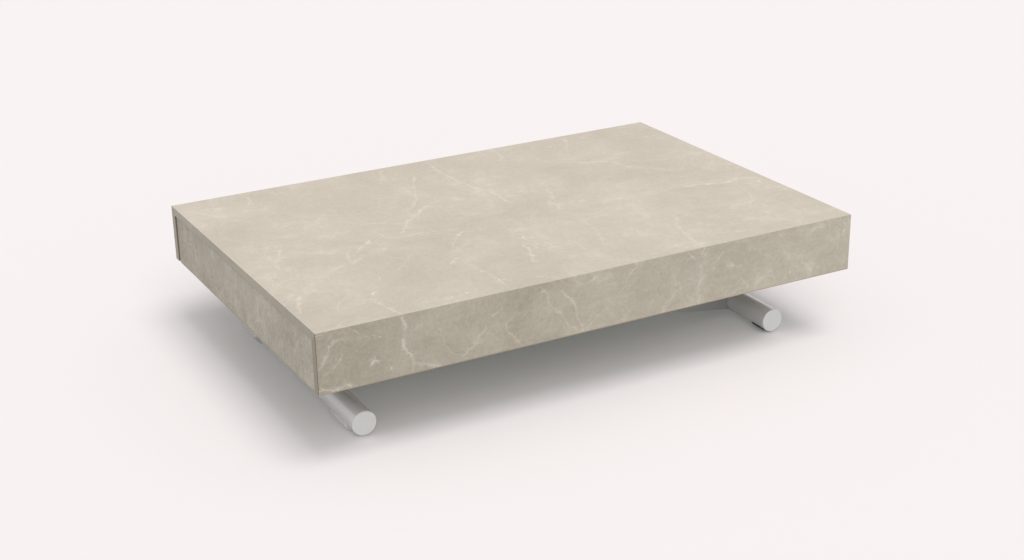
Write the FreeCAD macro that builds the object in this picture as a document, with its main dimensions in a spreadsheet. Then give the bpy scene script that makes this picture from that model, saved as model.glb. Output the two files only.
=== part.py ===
import FreeCAD, Part
import os
import re

import Sketcher
from FreeCAD import Placement, Rotation, Vector

# Low coffee table that rises to dining height on a scissor of steel legs and grows longer by two
# leaves drawn from its ends. Millimetres, X along the table, Y from front to back and Z up. The
# origin is on the floor under the middle of the top, and the table stands at its lowest height.

SIZES = {
    # Box of boards folded round mitred edges
    "table_length": 1200,
    "table_depth": 800,
    "table_height": 274,
    "box_depth": 121,
    "board_thickness": 18,
    # Foot tubes with their caps
    "foot_inset": 122,
    "foot_length": 622,
    "foot_diameter": 50,
    "foot_wall": 2.5,
    "foot_clearance": 4,
    "cap_thickness": 3,
    "cap_bevel": 0.8,
    "cap_spigot": 6,
    "cap_wall": 2,
    # Saddle glides under the left foot
    "glide_length": 76,
    "glide_setback": 71,
    "glide_thickness": 5,
    "glide_shoulder": 11,
    "peg_diameter": 8,
    "peg_length": 6,
    # Wheels, axles and carriers in the right foot
    "wheel_diameter": 40,
    "wheel_width": 34,
    "wheel_bevel": 2,
    "wheel_gap": 1,
    "wheel_axle": 8,
    "carrier_cheek": 7,
    # Scissor arms, their pivots and the tubes that tie each pair
    "arm_depth": 40,
    "arm_width": 20,
    "arm_wall": 2,
    "arm_gap": 4,
    "spacer_length": 46,
    "outer_arm_offset": 168,
    "lift_angle": 34,
    "slot_margin": 1,
    "pivot_diameter": 12,
    "bush_wall": 2,
    "disc_thickness": 6,
    "disc_gap": 2,
    "tie_diameter": 25,
    "tie_wall": 2,
    "lower_tie_share": 0.2,
    "upper_tie_share": 0.8,
    "bolt_head": 20,
    "bolt_head_height": 3,
    "nut_width": 19,
    "nut_height": 6,
    "spacer_diameter": 24,
    # Tracks, rollers and crossbars under the top
    "track_rise": 24,
    "track_end_gap": 50,
    "track_height": 36,
    "track_depth": 18,
    "track_wall": 2.5,
    "roller_width": 12,
    "roller_play": 0.5,
    "roller_side_gap": 1.5,
    "roller_bevel": 1,
    "inner_bar_offset": 170,
    "outer_bar_inset": 70,
    "bar_width": 40,
    "bar_wall": 1.5,
    "bar_clearance": 2,
    "plate_width": 64,
    "plate_height": 50,
    "plate_thickness": 3,
    "screw_offset": 24,
    "screw_rise": 14,
    "screw_diameter": 5,
    "screw_head": 10,
    "screw_head_height": 2.5,
    "screw_bite": 13,
    # Gas spring that pulls the carriage inwards
    "barrel_diameter": 28,
    "barrel_wall": 2,
    "barrel_length": 332,
    "barrel_base": 8,
    "barrel_neck": 12,
    "rod_diameter": 10,
    "rod_overlap": 40,
    "rod_grip": 9,
    "piston_length": 12,
    "piston_gap": 0.3,
    "yoke_length": 30,
    "yoke_height": 26,
    "yoke_width": 26,
    "anchor_width": 40,
    "anchor_plate": 8,
    "anchor_flange": 4,
    "anchor_margin": 3,
    "clip_wall": 3,
    "clip_length": 16,
    "clip_foot": 20,
    # Release shaft, handle and pin
    "shaft_diameter": 10,
    "shaft_drop": 8,
    "shaft_overhang": 6,
    "tongue_height": 14,
    "tongue_thickness": 8,
    "tongue_width": 16,
    "pin_diameter": 6,
    "pin_gap": 0.3,
    "pin_entry": 4,
    "handle_length": 96,
    "handle_width": 22,
    "handle_thickness": 8,
    "handle_hub": 18,
    "handle_lip": 12,
    "handle_setback": 13,
    # Leaves, end panels, runners and three-part slides
    "leaf_middle_gap": 116,
    "leaf_thickness": 18,
    "leaf_gap": 3,
    "end_thickness": 18,
    "end_recess": 2.5,
    "end_drop": 2.5,
    "end_gap": 2.5,
    "grip_depth": 6,
    "grip_height": 14,
    "runner_width": 20,
    "runner_height": 18,
    "slide_shortfall": 70,
    "slide_height": 35,
    "slide_depth": 12.6,
    "slide_sheet": 1.4,
    "slide_play": 0.5,
    "slide_headroom": 4,
    "slide_setback": 6,
    # Clearances: fixed pieces, turning pieces, flat faces that rub, and how far cuts overrun
    "fit_gap": 0.1,
    "running_gap": 0.05,
    "rub_gap": 0.3,
    "cut_overrun": 2,
}

SIDES = (("front", -1), ("back", 1))
ENDS = (("left", -1), ("right", 1))

doc = FreeCAD.newDocument("extending_coffee_table")
sheet = doc.addObject("Spreadsheet::Sheet", "Sizes")
for row, (name, size) in enumerate(SIZES.items(), start=1):
    sheet.set(f"A{row}", name)
    sheet.set(f"B{row}", str(size))
    sheet.setAlias(f"B{row}", name)
doc.recompute()
nodes = []


def sized(formula):
    """The formula with each size written as its cell in the sheet."""
    return re.sub(r"[a-z_]+", lambda word: f"Sizes.{word[0]}" if word[0] in SIZES else word[0], formula)


def measure(formula):
    """What the formula comes to at the present sizes."""
    return float(sheet.evalExpression(sized(formula)))


def tie(sketch, kind, numbers, formula):
    """Hold a sketched point or radius to a formula."""
    index = sketch.addConstraint(Sketcher.Constraint(kind, *numbers, measure(formula)))
    sketch.setExpression(f"Constraints[{index}]", sized(formula))


def corners(*points):
    """A closed outline of straight edges through the points."""

    def draw(sketch):
        first = len(sketch.Geometry)
        places = [Vector(measure(u), measure(v), 0) for u, v in points]
        after = places[1:] + places[:1]
        for start, end in zip(places, after):
            sketch.addGeometry(Part.LineSegment(start, end), False)
        edges = range(first, first + len(points))
        for edge in edges:
            following = first + (edge - first + 1) % len(points)
            sketch.addConstraint(Sketcher.Constraint("Coincident", edge, 2, following, 1))
        for edge, (u, v) in zip(edges, points):
            tie(sketch, "DistanceX", (edge, 1), u)
            tie(sketch, "DistanceY", (edge, 1), v)

    return draw


def rectangle(u_low, v_low, u_high, v_high):
    return corners((u_low, v_low), (u_high, v_low), (u_high, v_high), (u_low, v_high))


def circle(u, v, radius):
    def draw(sketch):
        round_edge = Part.Circle(Vector(measure(u), measure(v), 0), Vector(0, 0, 1), measure(radius))
        index = sketch.addGeometry(round_edge, False)
        tie(sketch, "DistanceX", (index, 3), u)
        tie(sketch, "DistanceY", (index, 3), v)
        tie(sketch, "Radius", (index,), radius)

    return draw


class Piece:
    """One piece, or a group of like pieces, built from sketched features in a frame of its own."""

    def __init__(self, label, x="0", y="0", z="0"):
        self.body = doc.addObject("PartDesign::Body", label)
        self.body.Label = label
        for axis, formula in zip("xyz", (x, y, z)):
            self.body.setExpression(f"Placement.Base.{axis}", sized(formula))
        nodes.append(self.body)

    def tilt(self, angle):
        """Raise the piece's own X axis by the angle, about Y."""
        self.body.Placement = Placement(Vector(), Rotation(Vector(0, -1, 0), 1))
        self.body.setExpression("Placement.Rotation.Angle", sized(angle))

    def sketch(self, plane, shapes, lift):
        """Shapes drawn on one of the piece's own planes, moved along X, Y or Z by the lift."""
        planes = self.body.Origin.OriginFeatures
        sketch = self.body.newObject("Sketcher::SketchObject", f"{self.body.Name}_sketch")
        sketch.AttachmentSupport = [(next(part for part in planes if part.Role == f"{plane}_Plane"), "")]
        sketch.MapMode = "FlatFace"
        way = -1 if plane == "XZ" else 1
        sketch.setExpression("AttachmentOffset.Base.z", sized(f"{way} * ({lift})"))
        for shape in shapes:
            shape(sketch)
        return sketch

    def extrude(self, kind, plane, length, shapes, lift, sides):
        profile = self.sketch(plane, shapes, lift)
        feature = self.body.newObject(f"PartDesign::{kind}", f"{self.body.Name}_{kind}")
        feature.Profile = profile
        feature.SideType = sides
        feature.setExpression("Length", sized(length))
        return self

    def pad(self, plane, length, *shapes, lift="0", sides="Symmetric"):
        return self.extrude("Pad", plane, length, shapes, lift, sides)

    def pocket(self, plane, length, *shapes, lift="0", sides="Symmetric"):
        return self.extrude("Pocket", plane, length, shapes, lift, sides)

    def turn(self, plane, axis, *shapes):
        """Turn a half section about the H (first) or V (second) axis of its plane."""
        profile = self.sketch(plane, shapes, "0")
        feature = self.body.newObject("PartDesign::Revolution", f"{self.body.Name}_turned")
        feature.Profile = profile
        feature.ReferenceAxis = (profile, [f"{axis}_Axis"])
        return self


# Levels of the box, and the faces inside it
half_depth = "table_depth / 2"
inner_depth = "(table_depth / 2 - board_thickness)"
box_bottom = "(table_height - box_depth)"
board_underside = "(table_height - board_thickness)"
end_face = "(table_length / 2 - end_recess - end_thickness)"

# Pivots of the scissor, and the planes that its arms move in
foot_x = "(table_length / 2 - foot_inset)"
foot_spacing = f"(2 * {foot_x})"
foot_axis = "(foot_clearance + foot_diameter / 2)"
track_axis = f"({box_bottom} + track_rise)"
rise = f"({track_axis} - {foot_axis})"
arm_length = f"sqrt({foot_spacing} ^ 2 + {rise} ^ 2)"
rest_angle = f"atan({rise} / {foot_spacing})"
inner_arm_offset = "(outer_arm_offset - arm_width - spacer_length)"
track_face = "(outer_arm_offset + arm_width / 2 + arm_gap)"
pivot_radius = "pivot_diameter / 2"
bush_bore = f"({pivot_radius} + running_gap)"
bush_radius = f"({pivot_radius} + running_gap + bush_wall)"

# Table top: its long edges are mitred to take the aprons
Piece("table_top").pad(
    "YZ",
    "table_length",
    corners(
        (f"-{half_depth}", "table_height"),
        (half_depth, "table_height"),
        (inner_depth, board_underside),
        (f"-{inner_depth}", board_underside),
    ),
)

# Aprons: long boards that carry the pattern down from the top over the mitre
for side, way in SIDES:
    Piece(f"{side}_apron").pad(
        "YZ",
        "table_length",
        corners(
            (f"{way} * {half_depth}", box_bottom),
            (f"{way} * {half_depth}", "table_height"),
            (f"{way} * {inner_depth}", board_underside),
            (f"{way} * {inner_depth}", box_bottom),
        ),
    )

# Foot tubes: round tubes across the table, slotted where the arms go in
foot_radius = "foot_diameter / 2"
foot_bore = "(foot_diameter / 2 - foot_wall)"
tube_end = "(foot_length / 2 - cap_thickness)"
glide_offset = "(foot_length / 2 - glide_setback)"
carrier_length = "(wheel_width + 2 * wheel_gap + 2 * carrier_cheek)"
wheel_offset = f"({tube_end} - cap_spigot - {carrier_length} / 2)"
wheel_radius = "wheel_diameter / 2"
wheel_drop = f"({foot_axis} - {wheel_radius})"
well_radius = f"({wheel_radius} + wheel_gap)"
well_width = "(wheel_width + 2 * wheel_gap)"
arm_offsets = {"left": inner_arm_offset, "right": "outer_arm_offset"}

raised_angle = f"({rest_angle} + lift_angle * 1 deg)"
middle_angle = f"({rest_angle} + lift_angle / 2 * 1 deg)"
slot_half_width = "(arm_depth / 2 + slot_margin)"
slot_reach = "(2 * foot_diameter)"


def beside_arm(angle, reach, shift, way):
    """A point along the line of an arm at an angle, shifted square to it, seen from its foot's axis."""
    along = f"{-way} * ({reach} * cos({angle}) - {shift} * sin({angle}))"
    upward = f"{reach} * sin({angle}) + {shift} * cos({angle})"
    return along, upward


for end, way in ENDS:
    tube = Piece(f"{end}_foot_tube", f"{way} * {foot_x}", "0", foot_axis)
    tube.pad("XZ", f"2 * {tube_end}", circle("0", "0", foot_radius), circle("0", "0", foot_bore))
    for side, facing in SIDES:
        tube.pocket(
            "XZ",
            "arm_width + 2 * slot_margin",
            corners(
                beside_arm(rest_angle, "0", f"-{slot_half_width}", way),
                beside_arm(rest_angle, slot_reach, f"-{slot_half_width}", way),
                beside_arm(middle_angle, f"2 * {slot_reach}", "0", way),
                beside_arm(raised_angle, slot_reach, slot_half_width, way),
                beside_arm(raised_angle, "0", slot_half_width, way),
            ),
            lift=f"{facing} * {arm_offsets[end]}",
        )
        if end == "right":
            tube.pocket(
                "XZ",
                well_width,
                circle("0", f"-{wheel_drop}", well_radius),
                lift=f"{facing} * {wheel_offset}",
            )
        else:
            tube.pocket(
                "XY",
                f"{foot_radius} + cut_overrun",
                circle("0", f"{facing} * {glide_offset}", "peg_diameter / 2 + fit_gap"),
                sides="One side",
            )

    # Caps: turned discs with a hollow spigot pressed into the tube's end
    spigot_radius = f"({foot_bore} - fit_gap)"
    for side, facing in SIDES:
        Piece(f"{end}_foot_cap_{side}", f"{way} * {foot_x}", "0", foot_axis).turn(
            "XY",
            "V",
            corners(
                ("0", f"{facing} * {tube_end}"),
                (f"{spigot_radius} - cap_wall", f"{facing} * {tube_end}"),
                (f"{spigot_radius} - cap_wall", f"{facing} * ({tube_end} - cap_spigot)"),
                (spigot_radius, f"{facing} * ({tube_end} - cap_spigot)"),
                (spigot_radius, f"{facing} * {tube_end}"),
                (foot_radius, f"{facing} * {tube_end}"),
                (foot_radius, f"{facing} * (foot_length / 2 - cap_bevel)"),
                (f"{foot_radius} - cap_bevel", f"{facing} * foot_length / 2"),
                ("0", f"{facing} * foot_length / 2"),
            ),
        )

    # Pivot rod inside the tube, carried by a disc on either side of each arm
    disc_offset = "(arm_width / 2 + disc_gap + disc_thickness / 2)"
    rod_reach = f"({arm_offsets[end]} + {disc_offset} + disc_thickness)"
    rod = Piece(f"{end}_pivot_rod", f"{way} * {foot_x}", "0", foot_axis)
    rod.pad("XZ", f"2 * {rod_reach}", circle("0", "0", pivot_radius))
    discs = Piece(f"{end}_rod_discs", f"{way} * {foot_x}", "0", foot_axis)
    for side, facing in SIDES:
        for step in (-1, 1):
            discs.pad(
                "XZ",
                "disc_thickness",
                circle("0", "0", f"{foot_bore} - fit_gap"),
                circle("0", "0", f"{pivot_radius} + fit_gap"),
                lift=f"{facing} * ({arm_offsets[end]} + {step} * {disc_offset})",
            )

# Glides: moulded saddles under the left foot, flat where they stand, pegged into the tube
glide_radius = f"({foot_radius} + glide_thickness)"
for side, facing in SIDES:
    glide = Piece(f"glide_{side}", f"-{foot_x}", f"{facing} * {glide_offset}", foot_axis)
    glide.pad("XZ", "glide_length", circle("0", "0", glide_radius), circle("0", "0", foot_radius))
    glide.pocket(
        "XZ",
        "glide_length + cut_overrun",
        rectangle(f"-2 * {glide_radius}", "-glide_shoulder", f"2 * {glide_radius}", f"2 * {glide_radius}"),
        rectangle(f"-2 * {glide_radius}", f"-2 * {glide_radius}", f"2 * {glide_radius}", f"-{foot_axis}"),
    )
    glide.pad(
        "XY",
        "peg_length",
        circle("0", "0", "peg_diameter / 2"),
        lift=f"peg_length / 2 - {foot_radius} - glide_thickness / 4",
    )

# Wheel carriers: moulded plugs in the right foot with a well for the wheel and a bore for its axle
axles = Piece("wheel_axles", foot_x, "0", f"{foot_axis} - {wheel_drop}")
for side, facing in SIDES:
    carrier = Piece(f"wheel_carrier_{side}", foot_x, f"{facing} * {wheel_offset}", foot_axis)
    carrier.pad("XZ", carrier_length, circle("0", "0", f"{foot_bore} - fit_gap"))
    carrier.pocket("XZ", well_width, circle("0", f"-{wheel_drop}", well_radius))
    carrier.pocket(
        "XZ",
        f"{carrier_length} + cut_overrun",
        circle("0", f"-{wheel_drop}", "wheel_axle / 2 + fit_gap"),
    )
    axles.pad("XZ", carrier_length, circle("0", "0", "wheel_axle / 2"), lift=f"{facing} * {wheel_offset}")


def roller(label, x, y, z, radius, bore, width, bevel):
    """A turned wheel with bevelled rims, on an axle across the table."""
    Piece(label, x, y, z).turn(
        "XY",
        "V",
        corners(
            (bore, f"-{width} / 2"),
            (f"{radius} - {bevel}", f"-{width} / 2"),
            (radius, f"{bevel} - {width} / 2"),
            (radius, f"{width} / 2 - {bevel}"),
            (f"{radius} - {bevel}", f"{width} / 2"),
            (bore, f"{width} / 2"),
        ),
    )


for side, facing in SIDES:
    roller(
        f"floor_wheel_{side}",
        foot_x,
        f"{facing} * {wheel_offset}",
        wheel_radius,
        radius=wheel_radius,
        bore="(wheel_axle / 2 + running_gap)",
        width="wheel_width",
        bevel="wheel_bevel",
    )

# Scissor arms: flat tubes with round eyes at both ends and the middle
# The inner pair stands on the left foot, and the outer pair on the right
legs = {
    "inner": (-1, inner_arm_offset, rest_angle, pivot_radius + " + fit_gap"),
    "outer": (1, "outer_arm_offset", f"180 deg - {rest_angle}", bush_radius),
}
for leg, (way, offset, angle, middle_bore) in legs.items():
    eyes = ("0", f"{arm_length} / 2", arm_length)
    bores = (bush_radius, middle_bore, bush_radius)
    for side, facing in SIDES:
        arm = Piece(f"{leg}_arm_{side}", f"{way} * {foot_x}", f"{facing} * {offset}", foot_axis)
        arm.tilt(angle)
        arm.pad(
            "YZ",
            arm_length,
            rectangle("-arm_width / 2", "-arm_depth / 2", "arm_width / 2", "arm_depth / 2"),
            rectangle(
                "arm_wall - arm_width / 2",
                "arm_wall - arm_depth / 2",
                "arm_width / 2 - arm_wall",
                "arm_depth / 2 - arm_wall",
            ),
            sides="One side",
        )
        for eye in eyes:
            arm.pad("XZ", "arm_width", circle(eye, "0", "arm_depth / 2"))
        for eye, bore in zip(eyes, bores):
            arm.pocket("XZ", "arm_width + cut_overrun", circle(eye, "0", bore))

    # Bushes: plain sleeves pressed into the eyes that turn on a rod, an axle or a bolt
    places = [(f"{way} * {foot_x}", foot_axis), (f"{-way} * {foot_x}", track_axis)]
    if leg == "outer":
        places.append(("0", f"({foot_axis} + {track_axis}) / 2"))
    bushes = Piece(f"{leg}_bushes")
    for side, facing in SIDES:
        for x, z in places:
            bushes.pad(
                "XZ",
                "arm_width",
                circle(x, z, bush_radius),
                circle(x, z, bush_bore),
                lift=f"{facing} * {offset}",
            )

    # Tie tube: round tube welded between the two arms of the pair
    share = "lower_tie_share" if leg == "inner" else "upper_tie_share"
    tie_tube = Piece(
        f"{leg}_tie_tube",
        f"{way} * {foot_x} * (1 - 2 * {share})",
        "0",
        f"{foot_axis} + {share} * {rise}",
    )
    tie_tube.pad(
        "XZ",
        f"2 * ({offset} - arm_width / 2)",
        circle("0", "0", "tie_diameter / 2"),
        circle("0", "0", "tie_diameter / 2 - tie_wall"),
    )

# Middle bolts: each is clamped in an inner arm by its nut and turns in the outer arm's bush
# A spacer sleeve keeps the two arms apart
bolts = Piece("middle_bolts", "0", "0", f"({foot_axis} + {track_axis}) / 2")
inner_face = f"({inner_arm_offset} - arm_width / 2)"
seam_face = f"({inner_arm_offset} + arm_width / 2)"
outer_face = "(outer_arm_offset + arm_width / 2)"
nut_corner = "nut_width / 2 / cos(30)"
hexagon = [(f"{nut_corner} * cos({turn * 60})", f"{nut_corner} * sin({turn * 60})") for turn in range(6)]
for side, facing in SIDES:
    shank_start = f"({inner_face} - nut_height)"
    shank_end = f"({outer_face} + rub_gap)"
    bolts.pad(
        "XZ",
        f"{shank_end} - {shank_start}",
        circle("0", "0", pivot_radius),
        lift=f"{facing} * ({shank_start} + {shank_end}) / 2",
    )
    bolts.pad(
        "XZ",
        "bolt_head_height",
        circle("0", "0", "bolt_head / 2"),
        lift=f"{facing} * ({shank_end} + bolt_head_height / 2)",
    )
    bolts.pad(
        "XZ",
        "nut_height",
        corners(*hexagon),
        circle("0", "0", f"{pivot_radius} + fit_gap"),
        lift=f"{facing} * ({inner_face} - nut_height / 2)",
    )
    bolts.pad(
        "XZ",
        "spacer_length - rub_gap",
        circle("0", "0", "spacer_diameter / 2"),
        circle("0", "0", f"{pivot_radius} + fit_gap"),
        lift=f"{facing} * ({seam_face} + (spacer_length - rub_gap) / 2)",
    )

# Tracks: C-shaped rails, open towards the legs, that guide the carriage's rollers
track_outer = f"({track_face} + track_depth)"
track_top = f"({track_axis} + track_height / 2)"
track_base = f"({track_axis} - track_height / 2)"
shaft_level = f"({track_axis} - shaft_drop)"
for side, facing in SIDES:
    track = Piece(f"track_{side}")
    track.pad(
        "YZ",
        "table_length - 2 * track_end_gap",
        corners(
            (f"{facing} * {track_face}", track_base),
            (f"{facing} * {track_outer}", track_base),
            (f"{facing} * {track_outer}", track_top),
            (f"{facing} * {track_face}", track_top),
            (f"{facing} * {track_face}", f"{track_top} - track_wall"),
            (f"{facing} * ({track_outer} - track_wall)", f"{track_top} - track_wall"),
            (f"{facing} * ({track_outer} - track_wall)", f"{track_base} + track_wall"),
            (f"{facing} * {track_face}", f"{track_base} + track_wall"),
        ),
    )
    track.pocket(
        "XZ",
        "track_wall + cut_overrun",
        circle(f"-{foot_x}", track_axis, f"{pivot_radius} + fit_gap"),
        circle("-inner_bar_offset", shaft_level, "shaft_diameter / 2 + running_gap"),
        lift=f"{facing} * ({track_outer} - track_wall / 2)",
    )

# Leaves lie under the top in one layer, each fixed to the end panel that draws it out
leaf_top = f"({board_underside} - leaf_gap)"
leaf_underside = f"({leaf_top} - leaf_thickness)"
leaf_half_width = f"({inner_depth} - slide_depth)"
leaf_length = f"({end_face} - leaf_middle_gap / 2)"
runner_bottom = f"({leaf_underside} - runner_height)"
slide_axis = f"({board_underside} - slide_headroom - slide_height / 2)"
slide_bottom = f"({slide_axis} - slide_height / 2)"
slide_length = f"({leaf_length} - slide_shortfall)"
slide_middle_x = f"({end_face} - slide_setback - {slide_length} / 2)"


def channel(side_way, web, lip, half_height):
    """A C-shaped slide member: depths run from the apron inwards, from its web to its lips."""
    outer_web, inner_web = web

    def point(depth, level):
        return f"{side_way} * ({inner_depth} - {depth})", f"{slide_axis} + {level}"

    return corners(
        point(outer_web, f"-{half_height}"),
        point(lip, f"-{half_height}"),
        point(lip, f"slide_sheet - {half_height}"),
        point(inner_web, f"slide_sheet - {half_height}"),
        point(inner_web, f"{half_height} - slide_sheet"),
        point(lip, f"{half_height} - slide_sheet"),
        point(lip, half_height),
        point(outer_web, half_height),
    )


# Three members of a slide, each nested in the last: web's two depths, lip's depth, half height
slide_nest = "(slide_sheet + slide_play)"
slide_members = {
    "outers": (("0", "slide_sheet"), f"(slide_depth - {slide_nest})", "slide_height / 2"),
    "middles": (
        (slide_nest, f"({slide_nest} + slide_sheet)"),
        f"(slide_depth - {slide_nest})",
        f"(slide_height / 2 - {slide_nest})",
    ),
    "inners": (
        ("slide_depth", "(slide_depth - slide_sheet)"),
        f"(2 * {slide_nest})",
        f"(slide_height / 2 - 2 * {slide_nest})",
    ),
}

for end, way in ENDS:
    leaf = Piece(f"{end}_leaf", f"{way} * ({end_face} - {leaf_length} / 2)", "0", leaf_underside)
    leaf.pad(
        "XY",
        "leaf_thickness",
        rectangle(f"-{leaf_length} / 2", f"-{leaf_half_width}", f"{leaf_length} / 2", leaf_half_width),
        sides="One side",
    )

    # End panel, set back from the ends of the boards and a little deeper than they are, with a finger
    # grip along its lower inner edge
    panel = Piece(f"{end}_end_panel")
    panel_face = f"({end_face} + end_thickness)"
    panel_bottom = f"({box_bottom} - end_drop)"
    panel.pad(
        "XZ",
        f"2 * ({inner_depth} - end_gap)",
        corners(
            (f"{way} * {panel_face}", panel_bottom),
            (f"{way} * {panel_face}", f"{board_underside} - end_gap"),
            (f"{way} * {end_face}", f"{board_underside} - end_gap"),
            (f"{way} * {end_face}", f"{panel_bottom} + grip_height"),
            (f"{way} * ({end_face} + grip_depth)", panel_bottom),
        ),
    )

    # Runners: battens under the leaf's long edges that take the slides' screws
    runners = Piece(f"{end}_runners", f"{way} * ({end_face} - {leaf_length} / 2)")
    runners.pad(
        "YZ",
        leaf_length,
        *[
            rectangle(
                f"{facing} * ({leaf_half_width} - runner_width)",
                runner_bottom,
                f"{facing} * {leaf_half_width}",
                leaf_underside,
            )
            for side, facing in SIDES
        ],
    )

    # Slides between the aprons and the runners, one at the front and one at the back
    for member, (web, lip, half_height) in slide_members.items():
        slides = Piece(f"{end}_slide_{member}", f"{way} * {slide_middle_x}")
        slides.pad("YZ", slide_length, *[channel(facing, web, lip, half_height) for side, facing in SIDES])

# Crossbars: flat tubes welded on top of the tracks
bar_top = f"(min({runner_bottom}, {slide_bottom}) - bar_clearance)"
plate_bottom = f"({bar_top} - plate_height)"
plate_face = f"({inner_depth} - plate_thickness)"
bars = {
    "left_crossbar": "outer_bar_inset - table_length / 2",
    "inner_left_crossbar": "-inner_bar_offset",
    "inner_right_crossbar": "inner_bar_offset",
    "right_crossbar": "table_length / 2 - outer_bar_inset",
}
for label, x in bars.items():
    Piece(label, x).pad(
        "XZ",
        f"2 * {plate_face}",
        rectangle("-bar_width / 2", track_top, "bar_width / 2", bar_top),
        rectangle(
            "bar_wall - bar_width / 2",
            f"{track_top} + bar_wall",
            "bar_width / 2 - bar_wall",
            f"{bar_top} - bar_wall",
        ),
    )

# End plates: welded to the crossbars and screwed to the aprons
screw_level = f"({plate_bottom} + screw_rise)"
screw_places = [f"{x} + {step} * screw_offset" for x in bars.values() for step in (-1, 1)]
plates = Piece("end_plates")
for side, facing in SIDES:
    plate_middle = f"{facing} * ({plate_face} + plate_thickness / 2)"
    plates.pad(
        "XZ",
        "plate_thickness",
        *[
            rectangle(f"{x} - plate_width / 2", plate_bottom, f"{x} + plate_width / 2", bar_top)
            for x in bars.values()
        ],
        lift=plate_middle,
    )
    plates.pocket(
        "XZ",
        "plate_thickness + cut_overrun",
        *[circle(x, screw_level, "screw_diameter / 2 + fit_gap") for x in screw_places],
        lift=plate_middle,
    )

screws = Piece("frame_screws")
screw_length = "(screw_bite + plate_thickness)"
for side, facing in SIDES:
    screws.pad(
        "XZ",
        screw_length,
        *[circle(x, screw_level, "screw_diameter / 2") for x in screw_places],
        lift=f"{facing} * ({plate_face} + {screw_length} / 2)",
    )
    screws.pad(
        "XZ",
        "screw_head_height",
        *[circle(x, screw_level, "screw_head / 2") for x in screw_places],
        lift=f"{facing} * ({plate_face} - screw_head_height / 2)",
    )

# Fixed axle through both tracks, on which the outer arms hang
fixed_axle = Piece("fixed_axle", f"-{foot_x}", "0", track_axis)
fixed_axle.pad("XZ", f"2 * {track_outer}", circle("0", "0", pivot_radius))

# Carriage axle through the inner arms, with a roller at each end in a track
carriage_axle = Piece("carriage_axle", foot_x, "0", track_axis)
axle_reach = f"({track_outer} - track_wall - roller_side_gap)"
carriage_axle.pad("XZ", f"2 * {axle_reach}", circle("0", "0", pivot_radius))
for side, facing in SIDES:
    roller(
        f"track_roller_{side}",
        foot_x,
        f"{facing} * ({track_face} + roller_side_gap + roller_width / 2)",
        track_axis,
        radius="(track_height / 2 - track_wall - roller_play)",
        bore=bush_bore,
        width="roller_width",
        bevel="roller_bevel",
    )

# Gas spring: its barrel lies along the middle of the frame, and its rod pulls the carriage's yoke
barrel_radius = "barrel_diameter / 2"
barrel_bore = "(barrel_diameter / 2 - barrel_wall)"
anchor_back = "(bar_width / 2 - inner_bar_offset)"
anchor_face = f"({anchor_back} + anchor_plate)"
barrel_end = f"({anchor_face} + barrel_length)"
neck_bore = "(rod_diameter / 2 + running_gap)"
pin_bore = "(pin_diameter / 2 + running_gap)"
Piece("spring_barrel", "0", "0", track_axis).turn(
    "XZ",
    "H",
    corners(
        (anchor_face, pin_bore),
        (anchor_face, barrel_radius),
        (barrel_end, barrel_radius),
        (barrel_end, neck_bore),
        (f"{barrel_end} - barrel_neck", neck_bore),
        (f"{barrel_end} - barrel_neck", barrel_bore),
        (f"{anchor_face} + barrel_base", barrel_bore),
        (f"{anchor_face} + barrel_base", pin_bore),
    ),
)

rod_start = f"({barrel_end} - rod_overlap)"
rod_end = f"({foot_x} - yoke_length / 2 + rod_grip)"
Piece("spring_rod", "0", "0", track_axis).turn(
    "XZ",
    "H",
    corners(
        (rod_start, "0"),
        (rod_start, f"{barrel_bore} - piston_gap"),
        (f"{rod_start} + piston_length", f"{barrel_bore} - piston_gap"),
        (f"{rod_start} + piston_length", "rod_diameter / 2"),
        (rod_end, "rod_diameter / 2"),
        (rod_end, "0"),
    ),
)

yoke = Piece("spring_yoke", foot_x, "0", track_axis)
yoke.pad(
    "XZ",
    "yoke_width",
    rectangle("-yoke_length / 2", "-yoke_height / 2", "yoke_length / 2", "yoke_height / 2"),
)
yoke.pocket("XZ", "yoke_width + cut_overrun", circle("0", "0", f"{pivot_radius} + fit_gap"))
yoke.pocket(
    "YZ",
    "2 * rod_grip",
    circle("0", "0", "rod_diameter / 2 + fit_gap"),
    lift="-yoke_length / 2",
)

# Spring brackets: an angle that the barrel's base is fixed to, and a clip near its neck
brackets = Piece("spring_brackets")
brackets.pad(
    "XZ",
    "anchor_width",
    corners(
        ("-inner_bar_offset - bar_width / 2", track_top),
        (anchor_face, track_top),
        (anchor_face, f"{track_axis} - {barrel_radius} - anchor_margin"),
        (anchor_back, f"{track_axis} - {barrel_radius} - anchor_margin"),
        (anchor_back, f"{track_top} - anchor_flange"),
        ("-inner_bar_offset - bar_width / 2", f"{track_top} - anchor_flange"),
    ),
)
brackets.pocket(
    "YZ",
    "anchor_plate + cut_overrun",
    circle("0", track_axis, pin_bore),
    lift=f"{anchor_back} + anchor_plate / 2",
)
brackets.pad(
    "YZ",
    "clip_length",
    circle("0", track_axis, f"{barrel_radius} + clip_wall"),
    lift="inner_bar_offset",
)
brackets.pad(
    "YZ",
    "clip_length",
    rectangle("-clip_foot / 2", track_axis, "clip_foot / 2", track_top),
    lift="inner_bar_offset",
)
brackets.pocket(
    "YZ",
    "clip_length + cut_overrun",
    circle("0", track_axis, f"{barrel_radius} + fit_gap"),
    lift="inner_bar_offset",
)

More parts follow.
